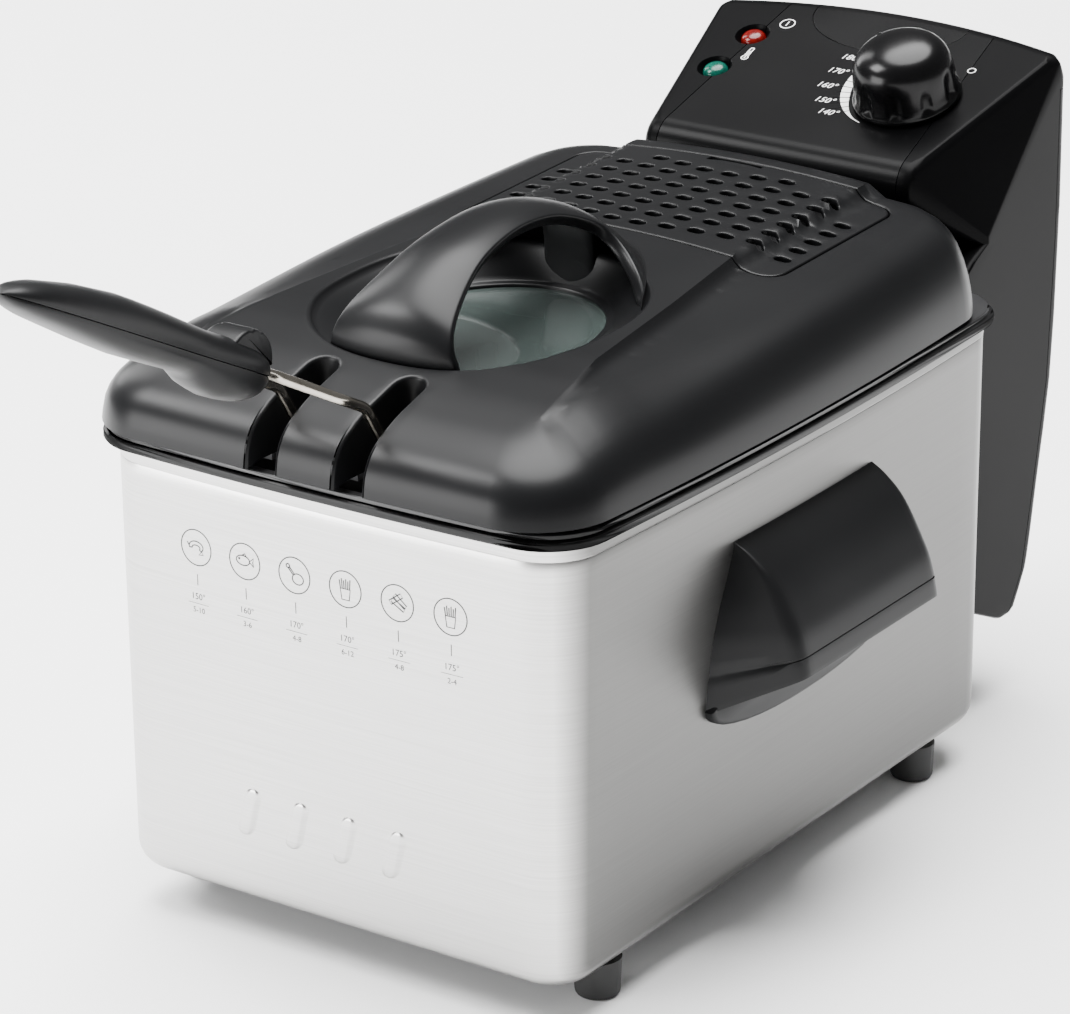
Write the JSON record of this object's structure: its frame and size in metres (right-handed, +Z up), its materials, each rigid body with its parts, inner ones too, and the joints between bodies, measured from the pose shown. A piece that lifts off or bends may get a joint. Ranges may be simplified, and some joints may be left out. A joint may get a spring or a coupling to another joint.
{
  "type": "deep fryer",
  "caption": "Counter-top deep fryer with a steel casing, lift-off windowed lid, lift-out wire basket and pan, and a removable control unit with a temperature knob.",
  "frame": {"origin": "on the plane the feet stand on, under the middle of the steel casing", "axes": "+X to the fryer's right seen from its front, +Y to the rear where the control unit is, +Z up"},
  "size_m": [0.288, 0.5951, 0.3287],
  "materials": {
    "black_plastic": "satin moulded plastic",
    "gloss_plastic": "gloss moulded plastic",
    "inner_plastic": "heat-resistant plastic",
    "brushed_steel": "horizontal brush marks",
    "pan_coating": "non-stick coating",
    "plated_wire": "bright plating",
    "plain_steel": "plain steel",
    "heater": "sheathed heating tube",
    "copper": "bare tube",
    "rubber": "moulded rubber",
    "silicone": "silicone",
    "glass": "toughened glass",
    "red_lens": "clear red plastic",
    "green_lens": "clear green plastic",
    "ceramic": "glazed insulator",
    "wire_cover": "insulation",
    "grease_mat": "fibre mat",
    "charcoal_mat": "charcoal foam"
  },
  "bodies": {
    "casing_body": {"casing": "brushed_steel", "top_collar": "black_plastic", "base_plate": "inner_plastic", "feet": "rubber", "foot_screws": "plain_steel", "side_handle_right": "black_plastic", "side_handle_left": "black_plastic", "handle_screws": "plain_steel", "rear_rail": "plain_steel", "rail_rivets": "plain_steel"},
    "pan_body": {"oil_pan": "pan_coating"},
    "control_unit": {"control_housing": "black_plastic", "rear_cover": "black_plastic", "control_panel": "black_plastic", "panel_badge": "gloss_plastic", "neck_cover": "black_plastic", "element_bracket": "plain_steel", "heating_element": "heater", "element_clips": "plain_steel", "thermostat": "plain_steel", "capillary_tube": "copper", "sensor_bulb": "copper", "thermal_cutout": "ceramic", "safety_switch": "inner_plastic", "terminal_block": "ceramic", "internal_wires": "wire_cover", "lamp_holders": "ceramic", "red_lens": "red_lens", "green_lens": "green_lens", "cord_gland": "rubber", "housing_screws": "plain_steel"},
    "knob_body": {"knob": "gloss_plastic", "knob_shaft": "plain_steel"},
    "reset_body": {"reset_button": "red_lens"},
    "basket_body": {"basket_sides": "plated_wire", "basket_ends": "plated_wire", "basket_floor_grid": "plated_wire", "basket_rim": "plated_wire", "basket_base_frame": "plated_wire", "handle_bracket": "plated_wire"},
    "handle_body": {"handle_wires": "plated_wire", "grip_upper": "black_plastic", "grip_lower": "black_plastic", "grip_screws": "plain_steel"},
    "thumb_body": {"thumb_button": "black_plastic"},
    "lid_body": {"lid_shell": "black_plastic", "lid_handle": "black_plastic", "window_gasket": "silicone", "window_glass": "glass", "lid_liner": "inner_plastic", "lid_seal": "silicone", "filter_tray": "inner_plastic", "grease_filter": "grease_mat", "charcoal_filter": "charcoal_mat", "lid_screws": "plain_steel"},
    "filter_lid_body": {"filter_cover": "black_plastic"}
  },
  "joints": [
    {"name": "pan_lift", "type": "slide", "parent": "casing_body", "child": "pan_body", "axis": [0, 0, 1], "range_m": [0, 0.18]},
    {"name": "control_unit_lift", "type": "slide", "parent": "pan_body", "child": "control_unit", "axis": [0, 0, 1], "range_m": [0, 0.2]},
    {"name": "basket_lift", "type": "slide", "parent": "control_unit", "child": "basket_body", "axis": [0, 0, 1], "range_m": [0, 0.15]},
    {"name": "lid_lift", "type": "slide", "parent": "basket_body", "child": "lid_body", "axis": [0, 0, 1], "range_m": [0, 0.12]},
    {"name": "knob_turn", "type": "hinge", "parent": "control_unit", "child": "knob_body", "pos_m": [0.0367, 0.20211, 0.26562], "axis": [0, -0.3338, 0.9426], "range_deg": [-14, 267]},
    {"name": "reset_press", "type": "slide", "parent": "control_unit", "child": "reset_body", "axis": [0, -1, 0], "range_m": [0, 0.003], "stiffness_N_per_m": 300, "springref_m": -0.002},
    {"name": "handle_raise", "type": "hinge", "parent": "basket_body", "child": "handle_body", "pos_m": [0, -0.138, 0.19], "axis": [-1, 0, 0], "range_deg": [0, 16]},
    {"name": "thumb_slide", "type": "slide", "parent": "handle_body", "child": "thumb_body", "axis": [0, -0.8894, 0.4571], "range_m": [0, 0.005], "stiffness_N_per_m": 300, "springref_m": -0.002},
    {"name": "filter_cover_lift", "type": "slide", "parent": "lid_body", "child": "filter_lid_body", "axis": [0, 0, 1], "range_m": [0, 0.04]}
  ]
}
